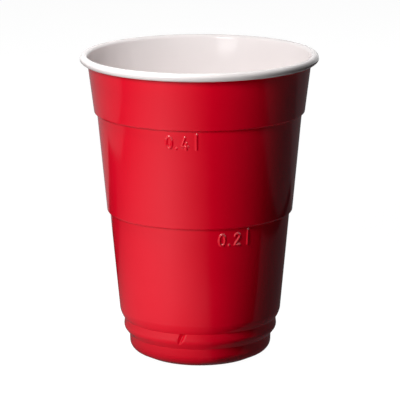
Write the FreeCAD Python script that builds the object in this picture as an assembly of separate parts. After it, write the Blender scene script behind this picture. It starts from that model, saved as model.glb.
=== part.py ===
import FreeCAD, Part
import math
import os

# A plastic party cup, formed in one piece from a thin sheet that is red outside and white inside.
# Millimetres, +Z up. The origin is on the cup's axis, on the surface that it stands on, and -Y is
# the side that shows the fill volumes. Sizes are of the outside of the sheet.

# Whole cup
cup_height = 125.0
rim_radius = 48.45
wall_thickness = 0.45

# Rolled rim: the sheet turns outwards and down, which brings its inner face to the outside
curl_radius = 1.65
curl_turn = 305.0

# Upper step: the crease under it is the 0.4 litre line
upper_line_height = 101.0
upper_line_radius = 41.65
upper_step_out = 1.15
upper_step_angle = 75.0
upper_step_rounding = 0.7

# Lower step: the crease under it is the 0.2 litre line
lower_line_height = 60.2
lower_line_radius = 36.75
lower_step_out = 1.1
lower_step_angle = 75.0
lower_step_rounding = 0.7

# Shoulder, where the wall stands out over the stacking ring
shoulder_out = 1.75
shoulder_angle = 40.0
shoulder_rounding = 7.0

# Stacking ring, which holds the next cup of a stack clear of the wall
ring_height = 8.67
ring_band = 6.73
ring_out = 2.35
ring_undercut = 0.4
ring_angle = 38.0
ring_rounding = 2.6

# Foot and base: a narrow flat ring carries the cup, and the middle of the base is raised
foot_radius = 28.9
foot_flare = 0.2
foot_rounding = 4.0
sole_angle = 25.0
contact_outer_radius = 22.3
contact_inner_radius = 20.3
base_radius = 18.2
base_rise = 2.5
base_rounding = 0.8

# The small rounding in every crease, which a mould can't leave sharp
crease_rounding = 0.3

# Air notches: leaning V-shaped dents across the stacking ring, which let nested cups part
notch_count = 3
notch_azimuth = -12.9
notch_depth = 1.25
notch_half_angle = 50.0
notch_lean = 21.0
notch_root_angle = 8.3

UP = FreeCAD.Vector(0, 0, 1)
ACROSS = FreeCAD.Vector(0, 1, 0)
ORIGIN = FreeCAD.Vector(0, 0, 0)


def tan(degrees):
    return math.tan(math.radians(degrees))


def point(radius, height):
    return FreeCAD.Vector(radius, 0, height)


def step(crease, out, angle):
    """The outer corner of a step that rises from the crease at an angle to the upright."""
    return crease + point(out, out / tan(angle))


def rounded_line(corners):
    """The edges of a line through corners, each a place and the radius that rounds it off."""
    edges = []
    start = corners[0][0]
    for (before, _), (corner, rounding), (after, _) in zip(corners, corners[1:], corners[2:]):
        inward = (corner - before).normalize()
        onward = (after - corner).normalize()
        half_turn = inward.getAngle(onward) / 2
        reach = rounding * math.tan(half_turn)
        leave = corner - inward * reach
        join = corner + onward * reach
        centre = corner + (onward - inward).normalize() * (rounding / math.cos(half_turn))
        middle = centre + (corner - centre).normalize() * rounding
        edges.append(Part.makeLine(start, leave))
        edges.append(Part.Arc(leave, middle, join).toShape())
        start = join
    edges.append(Part.makeLine(start, corners[-1][0]))
    return edges


def wall_top(corner, centre, radius):
    """Where a straight wall from the corner touches the inner side of the curl's circle."""
    to_centre = centre - corner
    lean = math.atan2(to_centre.x, to_centre.z) - math.asin(radius / to_centre.Length)
    length = math.sqrt(to_centre.Length ** 2 - radius ** 2)
    return corner + point(math.sin(lean), math.cos(lean)) * length


def curl(start, centre):
    """The arc of the rolled rim, from the top of the wall over the outside and back under."""
    spoke = start - centre
    middle = centre + FreeCAD.Rotation(ACROSS, curl_turn / 2).multVec(spoke)
    end = centre + FreeCAD.Rotation(ACROSS, curl_turn).multVec(spoke)
    return Part.Arc(start, middle, end).toShape()


def notch(skin):
    """A V-shaped prism that crosses the ring at +X, with each face moved out by the skin."""
    along = FreeCAD.Vector(-tan(notch_root_angle), tan(notch_lean), 1)
    apex = shoulder_crease - point(notch_depth + skin / math.sin(math.radians(notch_half_angle)), 0)
    apex = apex + along * skin
    reach = ring_out + notch_depth
    left = apex + FreeCAD.Vector(reach, -reach * tan(notch_half_angle), 0)
    right = apex + FreeCAD.Vector(reach, reach * tan(notch_half_angle), 0)
    triangle = Part.Face(Part.makePolygon([apex, left, right, apex]))
    return triangle.extrude(along * -(ring_band + skin))


def around_ring(tool):
    """A copy of the tool at each notch. Azimuths start at the front, -Y, and grow towards +X."""
    copies = []
    for i in range(notch_count):
        copy = tool.copy()
        copy.rotate(ORIGIN, UP, notch_azimuth - 90 + i * 360 / notch_count)
        copies.append(copy)
    return Part.makeCompound(copies)


# Creases and corners of the section, from the foot up
foot_corner = point(foot_radius, (foot_radius - contact_outer_radius) * tan(sole_angle))
ring_crease = point(foot_radius + foot_flare, ring_height)
ring_corner = step(ring_crease, ring_out, ring_angle)
shoulder_crease = point(ring_corner.x - ring_undercut, ring_height + ring_band)
shoulder_corner = step(shoulder_crease, shoulder_out, shoulder_angle)
lower_crease = point(lower_line_radius, lower_line_height)
lower_corner = step(lower_crease, lower_step_out, lower_step_angle)
upper_crease = point(upper_line_radius, upper_line_height)
upper_corner = step(upper_crease, upper_step_out, upper_step_angle)
curl_centre = point(rim_radius - curl_radius, cup_height - curl_radius)
top = wall_top(upper_corner, curl_centre, curl_radius - wall_thickness)

# The outside line of the section, from the middle of the base to the top of the wall
outside = rounded_line([
    (point(0, base_rise), 0),
    (point(base_radius, base_rise), base_rounding),
    (point(contact_inner_radius, 0), base_rounding),
    (point(contact_outer_radius, 0), base_rounding),
    (foot_corner, foot_rounding),
    (ring_crease, crease_rounding),
    (ring_corner, ring_rounding),
    (shoulder_crease, crease_rounding),
    (shoulder_corner, shoulder_rounding),
    (lower_crease, crease_rounding),
    (lower_corner, lower_step_rounding),
    (upper_crease, crease_rounding),
    (upper_corner, upper_step_rounding),
    (top, 0),
])

# The sheet is the space between that line, with its curl, and a line one wall inside it
sheet_line = Part.Wire(outside + [curl(top, curl_centre)])
section = sheet_line.makeOffset2D(wall_thickness, fill=True, openResult=True)
sheet = section.revolve(ORIGIN, UP, 360)

# The space within the outside line bounds the ribs that stand behind the notches
lid = Part.makeLine(top, point(0, top.z))
axis = Part.makeLine(point(0, top.z), point(0, base_rise))
inside_line = Part.Face(Part.Wire(outside + [lid, axis])).revolve(ORIGIN, UP, 360)
ribs = inside_line.common(around_ring(notch(wall_thickness)))

# The sheet follows each dent, so a rib goes in behind it before the V is cut from the front
cup = sheet.fuse(ribs.Solids).cut(around_ring(notch(0))).removeSplitter().Solids[0]

os.makedirs("parts", exist_ok=True)
cup.exportStep("parts/cup.step")
print("cup: valid", cup.isValid(), "sheet", round(cup.Volume / 1000, 2), "cm3")
print("wall leaves", round(math.degrees((top - upper_corner).getAngle(UP)), 2), "degrees of draft")
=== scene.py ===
# %% [markdown]
# A plastic party cup
#
# This lesson dresses the plain solid of a drinking cup. The real cup is formed from one thin sheet
# of plastic that is red on one face and white on the other. All that the eye picks out is in that
# sheet: the rolled rim, two steps, a notched stacking ring, and the fill volumes that stand up from
# the wall. So one piece is modelled, and its two faces get two finishes.

import math

import bmesh
import bpy
from mathutils import Matrix, Vector


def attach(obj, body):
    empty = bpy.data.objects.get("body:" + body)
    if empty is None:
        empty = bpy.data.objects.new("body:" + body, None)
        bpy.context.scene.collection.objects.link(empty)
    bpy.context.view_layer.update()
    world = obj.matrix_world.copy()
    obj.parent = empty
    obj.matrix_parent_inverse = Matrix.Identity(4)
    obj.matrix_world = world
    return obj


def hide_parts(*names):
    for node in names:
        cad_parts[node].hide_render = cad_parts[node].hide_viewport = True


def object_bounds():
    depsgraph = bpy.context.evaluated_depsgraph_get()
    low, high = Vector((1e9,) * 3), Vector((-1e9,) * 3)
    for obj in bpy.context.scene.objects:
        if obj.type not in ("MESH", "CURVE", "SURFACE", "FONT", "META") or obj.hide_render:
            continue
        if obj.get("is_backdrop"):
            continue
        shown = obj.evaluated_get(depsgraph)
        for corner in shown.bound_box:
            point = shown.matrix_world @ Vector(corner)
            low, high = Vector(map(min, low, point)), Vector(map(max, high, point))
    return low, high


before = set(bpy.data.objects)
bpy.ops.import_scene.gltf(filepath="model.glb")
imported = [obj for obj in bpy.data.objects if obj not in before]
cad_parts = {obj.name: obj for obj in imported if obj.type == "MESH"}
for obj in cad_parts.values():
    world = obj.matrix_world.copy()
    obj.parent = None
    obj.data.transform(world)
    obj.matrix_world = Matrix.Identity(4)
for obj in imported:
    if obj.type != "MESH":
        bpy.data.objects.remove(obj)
cad_low, cad_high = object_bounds()
print("frame box, mm:", [round(v * 1000, 2) for v in (*cad_low, *cad_high)])

# %% [markdown]
# Sizes are thought of in millimetres and modelled in metres, so one factor stands between them.
# The section of the cup is a line in the plane y = 0, where x is the radius and z the height. A
# place round the cup is an azimuth: 0 is the front, which faces -y, and it grows towards +x.

# %% Units, and places on a section
MM = 0.001


def at(radius, height):
    """A place on the section, from millimetres."""
    return Vector((radius, 0, height)) * MM


def tan(degrees):
    return math.tan(math.radians(degrees))


def step(crease, out, angle):
    """The outer corner of a step that rises from the crease at an angle to the upright."""
    return crease + at(out, out / tan(angle))


# %% [markdown]
# The section starts as its corners: creases, where the wall turns in, and outer corners, where it
# turns out. The overall height and the rim's radius come from the frame, so the section can't
# drift from the solid. The other sizes are those of the mould.

# %% Corners of the section, from the foot up
wall = 0.45
curl_radius = 1.65
rim_radius = cad_high.x / MM
cup_height = cad_high.z / MM
base_radius = 18.2
base_rise = 2.5
contact_inner_radius = 20.3
contact_outer_radius = 22.3
foot_radius = 28.9
sole_angle = 25
ring_crease_radius = 29.1
ring_height = 8.67
ring_out = 2.35
ring_angle = 38
ring_undercut = 0.4
shoulder_height = 15.4
shoulder_out = 1.75
shoulder_angle = 40
lower_line_radius = 36.75
lower_line_height = 60.2
lower_step_out = 1.1
upper_line_radius = 41.65
upper_line_height = 101.0
upper_step_out = 1.15
step_angle = 75

foot_corner = at(foot_radius, (foot_radius - contact_outer_radius) * tan(sole_angle))
ring_crease = at(ring_crease_radius, ring_height)
ring_corner = step(ring_crease, ring_out, ring_angle)
shoulder_crease = at(ring_corner.x / MM - ring_undercut, shoulder_height)
shoulder_corner = step(shoulder_crease, shoulder_out, shoulder_angle)
lower_crease = at(lower_line_radius, lower_line_height)
lower_corner = step(lower_crease, lower_step_out, step_angle)
upper_crease = at(upper_line_radius, upper_line_height)
upper_corner = step(upper_crease, upper_step_out, step_angle)
curl_centre = at(rim_radius - curl_radius, cup_height - curl_radius)
print("steps at, mm:", [round(c.z / MM, 1) for c in (shoulder_crease, lower_crease, upper_crease)])

# %% [markdown]
# Under the rim the wall runs straight up to the roll and meets it without a corner, so its top is
# the point where a line from the last corner touches the roll's inner circle. It could be placed
# by eye, but a tangent is a short piece of trigonometry and leaves no kink in the highlight.

# %% Where the wall meets the roll
inner_curl = (curl_radius - wall) * MM
to_centre = curl_centre - upper_corner
lean = math.atan2(to_centre.x, to_centre.z) - math.asin(inner_curl / to_centre.length)
reach = math.sqrt(to_centre.length ** 2 - inner_curl ** 2)
wall_top = upper_corner + Vector((math.sin(lean), 0, math.cos(lean))) * reach
print("the wall leans out by", round(math.degrees(lean), 2), "degrees")

# %% [markdown]
# Each corner is rounded with the bevel operator on its vertex. Bevel asks how far along the lines
# the round starts, not for its radius, so the radius times the tangent of half the turn is given.
# The two steps are tight ledges, because the mould has an edge there, and the shoulder and the ring
# are wide rounds, because the sheet only stretches over them.

# %% Draw the section and round its corners
base_rounding = 0.8
foot_rounding = 4
crease_rounding = 0.3
ring_rounding = 2.6
shoulder_rounding = 7
step_rounding = 0.7
TIGHT_SEGMENTS = 4
WIDE_SEGMENTS = 6

section = bmesh.new()
corners = [
    (at(0, base_rise), 0),
    (at(base_radius, base_rise), base_rounding),
    (at(contact_inner_radius, 0), base_rounding),
    (at(contact_outer_radius, 0), base_rounding),
    (foot_corner, foot_rounding),
    (ring_crease, crease_rounding),
    (ring_corner, ring_rounding),
    (shoulder_crease, crease_rounding),
    (shoulder_corner, shoulder_rounding),
    (lower_crease, crease_rounding),
    (lower_corner, step_rounding),
    (upper_crease, crease_rounding),
    (upper_corner, step_rounding),
    (wall_top, 0),
]
verts = [section.verts.new(place) for place, _ in corners]
for low, high in zip(verts, verts[1:]):
    section.edges.new((low, high))

for vert, (_, rounding) in zip(verts, corners):
    if rounding:
        before, after = (e.other_vert(vert).co - vert.co for e in vert.link_edges)
        half_turn = (math.pi - before.angle(after)) / 2
        bmesh.ops.bevel(section, geom=[vert], affect="VERTICES", material=-1, profile=0.5,
                        segments=TIGHT_SEGMENTS if rounding < 1 else WIDE_SEGMENTS,
                        offset=rounding * MM * math.tan(half_turn))
print("section:", len(section.verts), "points")

# %% [markdown]
# The rim is the same sheet, rolled outwards and down, which brings its white face to the outside.
# A spin of the wall's last vertex about the middle of the roll draws it.

# %% Roll the rim
CURL_TURN = 305
CURL_STEPS = 20
top = max(section.verts, key=lambda v: v.co.z)
bmesh.ops.spin(section, geom=[top], cent=curl_centre, axis=(0, 1, 0),
               angle=math.radians(CURL_TURN), steps=CURL_STEPS)

# %% [markdown]
# Long straight runs get rows, close together where a band of the wall will carry raised figures
# or notches, and wider elsewhere. The rows also keep the smooth shading of the small roundings
# from spreading over the flat wall.

# %% Rows along the wall
FIGURE_ROW = 1.4
PLAIN_ROW = 6.0
figure_bands = [(92.0, upper_line_height), (51.5, lower_line_height), (8.6, 15.5)]


def in_band(height):
    return any(low <= height / MM <= high for low, high in figure_bands)


for low, _ in figure_bands[:2]:
    bmesh.ops.bisect_plane(section, geom=section.verts[:] + section.edges[:], dist=1e-7,
                           plane_co=at(0, low), plane_no=(0, 0, 1))
for edge in section.edges[:]:
    a, b = edge.verts
    row = FIGURE_ROW if in_band((a.co.z + b.co.z) / 2) else PLAIN_ROW
    cuts = math.ceil(edge.calc_length() / (row * MM)) - 1
    if cuts > 0:
        bmesh.ops.subdivide_edges(section, edges=[edge], cuts=cuts)
print("section with rows:", len(section.verts), "points")

# %% [markdown]
# One turn about the cup's axis makes the wall. The first and last rows are merged by the spin, and
# the ring of vertices at the middle of the base is merged after it. Recalculated normals are then
# checked against the plain wall, because on an open shell with a rolled rim the rule that finds
# the outside could choose either face.

# %% Spin the wall
SEGMENTS = 180
PLAIN_HEIGHT = 80
bmesh.ops.spin(section, geom=section.verts[:] + section.edges[:], cent=(0, 0, 0), axis=(0, 0, 1),
               angle=math.tau, steps=SEGMENTS, use_merge=True)
bmesh.ops.remove_doubles(section, verts=section.verts[:], dist=1e-6)
bmesh.ops.recalc_face_normals(section, faces=section.faces[:])
wall_face = min(section.faces, key=lambda f: abs(f.calc_center_median().z / MM - PLAIN_HEIGHT))
if wall_face.normal.dot(wall_face.calc_center_median().xy.to_3d()) < 0:
    bmesh.ops.reverse_faces(section, faces=section.faces[:])
print("wall:", len(section.faces), "faces")

# %% [markdown]
# The volumes and the notches need a finer mesh than the rest, so only the faces under them are
# divided, and of those only the long sides. New vertices lie on the straight sides between the old
# ones, and a cosine puts each back on the round wall.

# %% Divide the wall under the details
LONG_SIDE = 0.5
DETAIL_RADIUS = 28


def azimuth(place):
    return math.degrees(math.atan2(place.x, -place.y))


def refine(shell, middle, half_width, low, high, cuts):
    """Divides the faces of a patch and returns its vertices, put back on the round."""
    def inside(place):
        turn = (azimuth(place) - middle + 180) % 360 - 180
        outer = place.xy.length > DETAIL_RADIUS * MM
        return abs(turn) < half_width and low < place.z / MM < high and outer

    faces = [f for f in shell.faces if inside(f.calc_center_median())]
    edges = {e for f in faces for e in f.edges if e.calc_length() > LONG_SIDE * MM}
    made = bmesh.ops.subdivide_edges(shell, edges=list(edges), cuts=cuts, use_grid_fill=True)
    new = [v for v in made["geom_inner"] if isinstance(v, bmesh.types.BMVert)]
    sector = math.tau / SEGMENTS
    for vert in new:
        off = (math.radians(azimuth(vert.co)) + sector / 2) % sector - sector / 2
        # A chord's middle is half a sector from its ends, and there the wall lies furthest out
        from_middle = sector / 2 - abs(off)
        out = math.cos(from_middle) / math.cos(sector / 2)
        vert.co.x *= out
        vert.co.y *= out
    return {v for f in shell.faces if inside(f.calc_center_median()) for v in f.verts}


# %% [markdown]
# The figures are ridges about a millimetre wide, pressed out by grooves in the mould. Text could
# be wrapped round the wall, but a font's sharp outlines don't look like a ridge in thin sheet.
# Here each figure is a few strokes, as a graver would cut them, and every vertex near a stroke is
# raised along a soft hump.

# %% Strokes of the figures, in millimetres from the foot of the first one
FIGURE_HEIGHT = 5.6
STROKE_REACH = 0.74
RIDGE_HEIGHT = 0.42
HALF_FIGURE = 1.15
FIGURE_CUTS = 8


def oval(width, height, points=24):
    turns = [math.tau * i / points for i in range(points + 1)]
    return [(width * math.cos(t), height * (1 + math.sin(t))) for t in turns]


def two(width, height):
    """The figure two: a bow, a slanting stroke and a foot."""
    bow = [math.radians(a) for a in range(170, -50, -20)]
    curve = [(width * math.cos(t), height - width + width * math.sin(t)) for t in bow]
    return curve + [(-width, 0), (width, 0)]


def figures(digit_strokes):
    """The strokes of nought, point, a digit and the letter l, side by side."""
    body = FIGURE_HEIGHT - 1
    placed = [
        (0, [oval(HALF_FIGURE, body / 2)]),
        (2.9, [[(0, 0), (0, 0.1)]]),
        (6.4, digit_strokes),
        (11.1, [[(0, -0.1), (0, body + 1.2)]]),
    ]
    return [[(x + across, z) for x, z in line] for across, lines in placed for line in lines]


body = FIGURE_HEIGHT - 1
four = [[(0.1, body), (-1.15, 1.0), (1.35, 1.0)], [(0.6, 2.3), (0.6, -0.1)]]
marks = [
    {"strokes": figures(four), "start": -12.3, "foot": 93.8, "radius": 41.5},
    {"strokes": figures([two(1.05, body)]), "start": 9.0, "foot": 53.2, "radius": 36.5},
]


def from_segment(x, z, a, b):
    """The distance of a point from the straight line between two others."""
    along_x, along_z = b[0] - a[0], b[1] - a[1]
    length = along_x ** 2 + along_z ** 2
    part = ((x - a[0]) * along_x + (z - a[1]) * along_z) / length
    part = min(max(part, 0), 1)
    return math.hypot(x - a[0] - part * along_x, z - a[1] - part * along_z)


def ridge(x, z, strokes):
    """How far a point near the strokes stands out of the wall."""
    near = min(from_segment(x, z, a, b) for line in strokes for a, b in zip(line, line[1:]))
    if near > STROKE_REACH:
        return 0
    return RIDGE_HEIGHT * (1 + math.cos(math.pi * near / STROKE_REACH)) / 2


# %% Raise the figures
GROUP_MIDDLE = 5.6
GROUP_REACH = 8.2
ROOM_BELOW = 1.7
ROOM_ABOVE = 7.1

for mark in marks:
    per_degree = math.radians(mark["radius"])
    first = mark["start"] / per_degree
    middle = first + GROUP_MIDDLE / per_degree
    moved = refine(section, middle, GROUP_REACH / per_degree, mark["foot"] - ROOM_BELOW,
                   mark["foot"] + ROOM_ABOVE, FIGURE_CUTS)
    for vert in moved:
        across = (azimuth(vert.co) - first) * per_degree
        out = ridge(across, vert.co.z / MM - mark["foot"], mark["strokes"])
        vert.co += vert.co.xy.normalized().to_3d() * out * MM
    print("figures on", len(moved), "vertices")

# %% [markdown]
# The stacking ring is notched so that air gets between nested cups. Each notch is a V whose root
# leans sideways and runs out at the ring's lower edge. A boolean cut would leave long thin faces
# at its borders, so vertices in front of the V are pressed back to it instead, with a short soft
# blend where the two surfaces meet.

# %% Press the notches
NOTCHES = 3
NOTCH_AZIMUTH = -12.9
NOTCH_DEPTH = 1.25
NOTCH_HALF_ANGLE = 50
NOTCH_LEAN = 21
ROOT_ANGLE = 8.3
BLEND = 0.12
NOTCH_CUTS = 6
PATCH_SHIFT = 1.8
PATCH_HALF_WIDTH = 6.3
PATCH_LOW = 8.4
PATCH_HIGH = 16.2

for i in range(NOTCHES):
    centre = NOTCH_AZIMUTH + i * 360 / NOTCHES
    moved = refine(section, centre - PATCH_SHIFT, PATCH_HALF_WIDTH, PATCH_LOW, PATCH_HIGH,
                   NOTCH_CUTS)
    to_local = Matrix.Rotation(math.radians(90 - centre), 4, "Z")
    to_cup = to_local.inverted()
    for vert in moved:
        place = to_local @ vert.co
        below = shoulder_crease.z - place.z
        if below < 0:
            continue
        root_x = shoulder_crease.x - NOTCH_DEPTH * MM + below * tan(ROOT_ANGLE)
        root_y = -below * tan(NOTCH_LEAN)
        face = root_x + abs(place.y - root_y) / tan(NOTCH_HALF_ANGLE)
        soft = max(BLEND * MM - abs(place.x - face), 0) ** 2 / (4 * BLEND * MM)
        place.x = min(place.x, face) - soft
        vert.co = to_cup @ place
    print("notch", i + 1, "moved over", len(moved), "vertices")
triangles = sum(len(f.verts) - 2 for f in section.faces)
print("shell:", triangles, "triangles a side")

# %% [markdown]
# The sheet gets its thickness last, from a Solidify modifier that works inwards. Its material
# offset gives the new face the second slot, so the outside is red and the inside and the roll are
# white. A Weighted Normal modifier then lets the large faces set the shading at their borders.

# %% Make the object and thicken it
mesh = bpy.data.meshes.new("cup_shell")
section.to_mesh(mesh)
section.free()
mesh.shade_smooth()
shell = bpy.data.objects.new("cup_shell", mesh)
bpy.context.scene.collection.objects.link(shell)

thicken = shell.modifiers.new("wall", "SOLIDIFY")
thicken.thickness = wall * MM
thicken.offset = -1
thicken.use_even_offset = True
thicken.material_offset = 1
thicken.material_offset_rim = 1
weighted = shell.modifiers.new("shading", "WEIGHTED_NORMAL")
weighted.keep_sharp = True

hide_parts("cup")
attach(shell, "root")

# %% [markdown]
# Materials are graphs of nodes. One helper adds a node, sets what is named and links its inputs.
# Colours are written as the hex values that a screen shows and turned to the linear values that
# light needs.

# %% Helpers for materials


def linear(code, alpha=1.0):
    """The linear colour of an sRGB hex value."""
    values = [int(code[i:i + 2], 16) / 255 for i in (1, 3, 5)]
    return (*[v / 12.92 if v <= 0.04045 else ((v + 0.055) / 1.055) ** 2.4 for v in values], alpha)


def add(tree, kind, settings=None, **inputs):
    """Adds a node. Settings are its own, and inputs are values or sockets to link."""
    node = tree.nodes.new(kind)
    for name, value in (settings or {}).items():
        setattr(node, name, value)
    for name, value in inputs.items():
        key = int(name[1:]) if name[1:].isdigit() else name.replace("_", " ")
        socket = node.inputs[key]
        if isinstance(value, bpy.types.NodeSocket):
            tree.links.new(value, socket)
        else:
            socket.default_value = value
    return node


def blank(name):
    """A material with an output and nothing else."""
    material = bpy.data.materials.new(name)
    material.use_nodes = True
    material.node_tree.nodes.clear()
    return material, material.node_tree


# %% [markdown]
# The outside is red polystyrene, formed hot over a polished mould and left glossy. Its gloss isn't
# a mirror's: the sheet keeps a faint ripple from being stretched, and handling leaves it with
# patches that are a little duller. Both are drawn with noise at their real size.

# %% Red polystyrene, formed and glossy
POLYSTYRENE_IOR = 1.59
STRETCH = (1, 1, 0.25)
RIPPLE_SIZE = 0.012
RIPPLE_HEIGHT = 0.0002
PEEL_SIZE = 0.0012
PEEL_HEIGHT = 0.000006
PATCH_SIZE = 0.02

red, tree = blank("red_polystyrene_gloss")
place = add(tree, "ShaderNodeTexCoord").outputs["Object"]
tall = add(tree, "ShaderNodeMapping", Vector=place, Scale=STRETCH).outputs["Vector"]
ripple = add(tree, "ShaderNodeTexNoise", Vector=tall, Scale=1 / RIPPLE_SIZE, Detail=2.0)
peel = add(tree, "ShaderNodeTexNoise", Vector=place, Scale=1 / PEEL_SIZE, Detail=1.0)
dull = add(tree, "ShaderNodeTexNoise", Vector=place, Scale=1 / PATCH_SIZE, Detail=4.0)
rough = add(tree, "ShaderNodeMapRange", Value=dull.outputs[0], From_Min=0.35, From_Max=0.7,
            To_Min=0.09, To_Max=0.13)
wave = add(tree, "ShaderNodeBump", Height=ripple.outputs[0], Distance=RIPPLE_HEIGHT, Strength=0.5)
grain = add(tree, "ShaderNodeBump", Height=peel.outputs[0], Distance=PEEL_HEIGHT, Strength=0.5,
            Normal=wave.outputs[0])
tone = add(tree, "ShaderNodeMix", {"data_type": "RGBA"}, Factor=dull.outputs[0],
           _6=linear("#EA0224"), _7=linear("#F00429"))
shader = add(tree, "ShaderNodeBsdfPrincipled", Base_Color=tone.outputs[2],
             Roughness=rough.outputs[0], Normal=grain.outputs[0], IOR=POLYSTYRENE_IOR)
add(tree, "ShaderNodeOutputMaterial", Surface=shader.outputs[0])

# %% [markdown]
# The inside is the same sheet's white layer, a little softer in gloss where the plug pressed it
# into the mould. White polystyrene isn't paper white: the red behind it shows through a little, so
# it is faintly pink, and the more so where light reaches it only from wall to wall.

# %% White polystyrene, formed against a plug
WHITE_RIPPLE_SIZE = 0.010
WHITE_PATCH_SIZE = 0.015

white, tree = blank("white_polystyrene_gloss")
place = add(tree, "ShaderNodeTexCoord").outputs["Object"]
tall = add(tree, "ShaderNodeMapping", Vector=place, Scale=STRETCH).outputs["Vector"]
ripple = add(tree, "ShaderNodeTexNoise", Vector=tall, Scale=1 / WHITE_RIPPLE_SIZE, Detail=2.0)
dull = add(tree, "ShaderNodeTexNoise", Vector=place, Scale=1 / WHITE_PATCH_SIZE, Detail=4.0)
rough = add(tree, "ShaderNodeMapRange", Value=dull.outputs[0], From_Min=0.35, From_Max=0.7,
            To_Min=0.11, To_Max=0.15)
wave = add(tree, "ShaderNodeBump", Height=ripple.outputs[0], Distance=RIPPLE_HEIGHT, Strength=0.4)
tone = add(tree, "ShaderNodeMix", {"data_type": "RGBA"}, Factor=dull.outputs[0],
           _6=linear("#F3EBEA"), _7=linear("#F5EEED"))
shader = add(tree, "ShaderNodeBsdfPrincipled", Base_Color=tone.outputs[2],
             Roughness=rough.outputs[0], Normal=wave.outputs[0], IOR=POLYSTYRENE_IOR)
add(tree, "ShaderNodeOutputMaterial", Surface=shader.outputs[0])

mesh.materials.append(red)
mesh.materials.append(white)

# %% [markdown]
# The cup stands on a plain pale floor. A camera sees it nearly white by its own glow, and the rest
# of what it sees is lit by the lamps, so the cup keeps its shadow. Rays that carry light find a
# grey floor and a dim room instead, and the shaded side of the cup keeps its depth.

# %% Floor and world
FLOOR_RADIUS = 3.0
FLOOR_GLOW = 0.965
ROOM_LIGHT = 0.025


def seen(tree):
    """1 for rays that show the background: from the camera, mirrored or passed through."""
    path = add(tree, "ShaderNodeLightPath").outputs
    either = add(tree, "ShaderNodeMath", {"operation": "MAXIMUM"}, _0=path["Is Camera Ray"],
                 _1=path["Is Glossy Ray"]).outputs[0]
    return add(tree, "ShaderNodeMath", {"operation": "MAXIMUM"}, _0=either,
               _1=path["Is Transmission Ray"]).outputs[0]


def stage(name, shape, material):
    """Turns a bmesh into a piece of the stage."""
    stage_mesh = bpy.data.meshes.new(name)
    shape.to_mesh(stage_mesh)
    shape.free()
    stage_mesh.materials.append(material)
    thing = bpy.data.objects.new(name, stage_mesh)
    bpy.context.scene.collection.objects.link(thing)
    thing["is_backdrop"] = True
    return thing


plain, tree = blank("pale_floor")
shown = seen(tree)
colour = add(tree, "ShaderNodeMix", {"data_type": "RGBA"}, Factor=shown, _6=linear("#A0A0A0"),
             _7=linear("#6A6A6A"))
lit = add(tree, "ShaderNodeBsdfDiffuse", Color=colour.outputs[2])
level = add(tree, "ShaderNodeMapRange", Value=shown, To_Min=0.0, To_Max=FLOOR_GLOW)
glow = add(tree, "ShaderNodeEmission", Strength=level.outputs[0])
both = add(tree, "ShaderNodeAddShader", _0=lit.outputs[0], _1=glow.outputs[0])
add(tree, "ShaderNodeOutputMaterial", Surface=both.outputs[0])

disc = bmesh.new()
bmesh.ops.create_circle(disc, cap_ends=True, segments=96, radius=FLOOR_RADIUS)
floor = stage("floor", disc, plain)

world = bpy.data.worlds.new("studio")
bpy.context.scene.world = world
world.use_nodes = True
tree = world.node_tree
tree.nodes.clear()
level = add(tree, "ShaderNodeMapRange", Value=seen(tree), To_Min=ROOM_LIGHT, To_Max=1.0)
glow = add(tree, "ShaderNodeBackground", Color=linear("#FFFFFF"), Strength=level.outputs[0])
add(tree, "ShaderNodeOutputWorld", Surface=glow.outputs[0])

# %% [markdown]
# A glossy thing on a white floor mirrors the floor, and the red turns milky. A photographer lays
# pale and dark cards round it, out of the picture, to choose what it mirrors. Each card here is a
# flat shape on the floor that the camera doesn't see. It glows with its own grey instead of being
# lit, so what the cup mirrors in it is a painted reflection. The cup is also lit by these glowing
# cards, which is painted light, and the dark ones also deepen its right side.
#
# The large card glows as if it lay in a pool of lamplight at the front left, so the pool is
# painted light. Its painted mirror image fades towards the right. As a light it is strongest close
# to the cup, a painted bounce, except round the foot, where a painted shadow dims its glow. The
# other cards are plain greys that glow at a fixed level, laid over it with crisp edges.

# %% Glowing cards for painted reflections
CARD_LIFT = 0.3
CARD_STEP = 0.1


def lay(name, shape, material, lift):
    """Adds a card that the camera doesn't see, raised by so many millimetres."""
    bmesh.ops.translate(shape, vec=(0, 0, lift * MM), verts=shape.verts)
    card = stage(name, shape, material)
    for kind in ("camera", "transmission", "volume_scatter", "shadow"):
        setattr(card, "visible_" + kind, False)
    return card


# %% The large card, with a painted pool of light
CARD_RADIUS = 0.7
POOL_CENTRE = (-0.12, -0.17, 0)
POOL_RADIUS = 0.30
POOL_GLOW = 0.62
EDGE_GLOW = 0.06
NEAR_BOUNCE = 4.6
FAR_BOUNCE = 0.7

# All of this card's glow is painted light: a painted pool of lamplight, a painted reflection that
# fades to the right, and painted bounce light near the cup.
painted_light_card, tree = blank("painted_light_card")
place = add(tree, "ShaderNodeTexCoord").outputs["Object"]
from_pool = add(tree, "ShaderNodeVectorMath", {"operation": "DISTANCE"}, _0=place, _1=POOL_CENTRE)
pool = add(tree, "ShaderNodeMapRange", {"interpolation_type": "SMOOTHSTEP"},
           Value=from_pool.outputs["Value"], From_Max=POOL_RADIUS, To_Min=POOL_GLOW,
           To_Max=EDGE_GLOW)
across = add(tree, "ShaderNodeSeparateXYZ", Vector=place).outputs["X"]
distance = add(tree, "ShaderNodeVectorMath", {"operation": "LENGTH"}, _0=place).outputs["Value"]
side = add(tree, "ShaderNodeMath", {"operation": "DIVIDE"}, _0=across, _1=distance)
fade = add(tree, "ShaderNodeMapRange", Value=side.outputs[0], From_Min=-0.62, From_Max=0.24,
           To_Min=1.0, To_Max=0.0)
bounced = add(tree, "ShaderNodeMapRange", Value=distance, From_Min=0.09, From_Max=0.19,
              To_Min=NEAR_BOUNCE, To_Max=FAR_BOUNCE)
bounce = add(tree, "ShaderNodeLightPath").outputs["Is Diffuse Ray"]
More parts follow.
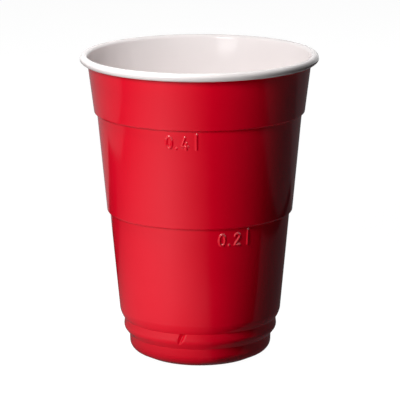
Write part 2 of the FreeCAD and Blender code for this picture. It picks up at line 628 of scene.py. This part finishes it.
share = add(tree, "ShaderNodeMapRange", Value=bounce, To_Min=fade.outputs[0],
            To_Max=bounced.outputs[0])
# Painted shadow: the glow is dimmed round the foot, as a contact shadow would dim it.
shadow = add(tree, "ShaderNodeMapRange", Value=distance, From_Min=0.024, From_Max=0.065, To_Min=0.25)
lit = add(tree, "ShaderNodeMath", {"operation": "MULTIPLY"}, _0=pool.outputs[0],
          _1=share.outputs[0])
strength = add(tree, "ShaderNodeMath", {"operation": "MULTIPLY"}, _0=lit.outputs[0],
               _1=shadow.outputs[0])
glow = add(tree, "ShaderNodeEmission", Strength=strength.outputs[0])
add(tree, "ShaderNodeOutputMaterial", Surface=glow.outputs[0])

sheet = bmesh.new()
bmesh.ops.create_circle(sheet, cap_ends=True, segments=64, radius=CARD_RADIUS)
lay("painted_light_card", sheet, painted_light_card, CARD_LIFT)

# %% The grey cards
# Each grey card glows at its own grey instead of being lit by a lamp: a painted reflection and
# painted light. The black one gives no light.
cards = [
    ("black_card", "#000000", [(0.006, -0.029), (0.14, -0.7), (0.7, -0.7), (0.7, -0.029)]),
    ("right_card", "#4A4244", [(0, -0.029), (0.17, -0.029), (0.17, 0.2), (0, 0.2)]),
    ("corner_card", "#2A2426", [(-0.283, 0.1), (0, 0.1), (0, 0.2), (-0.283, 0.2)]),
    ("back_card", "#989092", [(-0.7, -0.03), (-0.34, -0.03), (-0.283, 0.05), (-0.283, 0.2),
                              (0, 0.2), (0, 0.7), (-0.7, 0.7)]),
    ("far_card", "#181416", [(0.17, -0.029), (0.7, -0.029), (0.7, 0.2), (0.17, 0.2)]),
    ("edge_card", "#484244", [(0.19, 0.06), (0.29, -0.09), (0.36, -0.25), (0.7, -0.25),
                              (0.7, 0.2), (0.19, 0.2)]),
    ("back_right_card", "#5C5658", [(0, 0.2), (0.7, 0.2), (0.7, 0.7), (0, 0.7)]),
]
for lift, (name, grey, outline) in enumerate(cards, 1):
    material, tree = blank(name)
    glow = add(tree, "ShaderNodeEmission", Color=linear(grey))
    add(tree, "ShaderNodeOutputMaterial", Surface=glow.outputs[0])
    sheet = bmesh.new()
    sheet.faces.new([sheet.verts.new((x, y, 0)) for x, y in outline])
    lay(name, sheet, material, CARD_LIFT + lift * CARD_STEP)
print("cards:", 1 + len(cards))

# %% [markdown]
# The key lamp stands close by at the front left, above the height of the rim. Near as it is, its
# light falls off fast round the cup, which gives the wall its long shift from bright to deep red,
# and from above it puts a thin shadow under each step. A narrow beam opens up the inside, and a
# broad lamp behind keeps the back readable.

# %% Lamps
middle = (cad_low + cad_high) / 2


def toward(turn, elevation):
    """The direction from the cup to an azimuth and an elevation, in degrees."""
    a, e = math.radians(turn), math.radians(elevation)
    return Vector((math.sin(a) * math.cos(e), -math.cos(a) * math.cos(e), math.sin(e)))


def lamp(name, direction, distance, width, height, watts, spread=180):
    """An area lamp, sized in metres and aimed at the middle of the cup."""
    light = bpy.data.lights.new(name, "AREA")
    light.shape = "RECTANGLE"
    light.size = width
    light.size_y = height
    light.energy = watts
    light.spread = math.radians(spread)
    thing = bpy.data.objects.new(name, light)
    thing.location = middle + direction * distance
    thing.rotation_mode = "QUATERNION"
    thing.rotation_quaternion = direction.to_track_quat("Z", "Y")
    thing.visible_camera = False
    bpy.context.scene.collection.objects.link(thing)
    return thing


lamp("key", toward(-30, 34), distance=0.3, width=0.08, height=0.10, watts=0.50)
top = lamp("top", toward(-60, 70), distance=0.33, width=0.08, height=0.08, watts=0.066, spread=60)
back = lamp("back", toward(175, 35), distance=0.8, width=0.4, height=0.4, watts=1.3)
for soft in (top, back):
    soft.visible_glossy = False

# %% [markdown]
# A last card hangs low at the front left and lights nothing. It is there to be mirrored in the
# white of the inside, where it draws a short highlight under the rim.

# %% The strip of light that the inside mirrors
STRIP_WIDTH = 0.11
STRIP_HEIGHT = 0.02
STRIP_DISTANCE = 0.3
STRIP_GLOW = 5.0

strip, tree = blank("strip_light")
glow = add(tree, "ShaderNodeEmission", Strength=STRIP_GLOW)
add(tree, "ShaderNodeOutputMaterial", Surface=glow.outputs[0])
sheet = bmesh.new()
bmesh.ops.create_grid(sheet, x_segments=1, y_segments=1, size=0.5)
bmesh.ops.scale(sheet, vec=(STRIP_WIDTH, STRIP_HEIGHT, 1), verts=sheet.verts)
way = toward(-32, 15.5)
bmesh.ops.rotate(sheet, matrix=way.to_track_quat("Z", "Y").to_matrix(), verts=sheet.verts)
bmesh.ops.translate(sheet, vec=middle + way * STRIP_DISTANCE, verts=sheet.verts)
lay("strip_light", sheet, strip, 0).visible_diffuse = False

# %% [markdown]
# The camera stands a little over a metre away and looks slightly down, which is where the
# photograph's ellipses put it. Its lens is long, so the cup's sides hardly converge.

# %% Camera
lens = bpy.data.cameras.new("camera")
lens.lens = 259.26
lens.sensor_width = 36
lens.shift_x = 0.0005
lens.shift_y = 0.0025
camera = bpy.data.objects.new("camera", lens)
camera.location = (0, -1.15, 0.32583)
camera.rotation_euler = (math.radians(90 - 12.845), 0, 0)
camera.rotation_euler.rotate_axis("Z", math.radians(-0.18))
bpy.context.scene.collection.objects.link(camera)
bpy.context.scene.camera = camera
bpy.context.scene.view_settings.view_transform = "Standard"

# %% Sizes at the end
low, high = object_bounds()
print("visual box, mm:", [round(v * 1000, 2) for v in (*low, *high)])
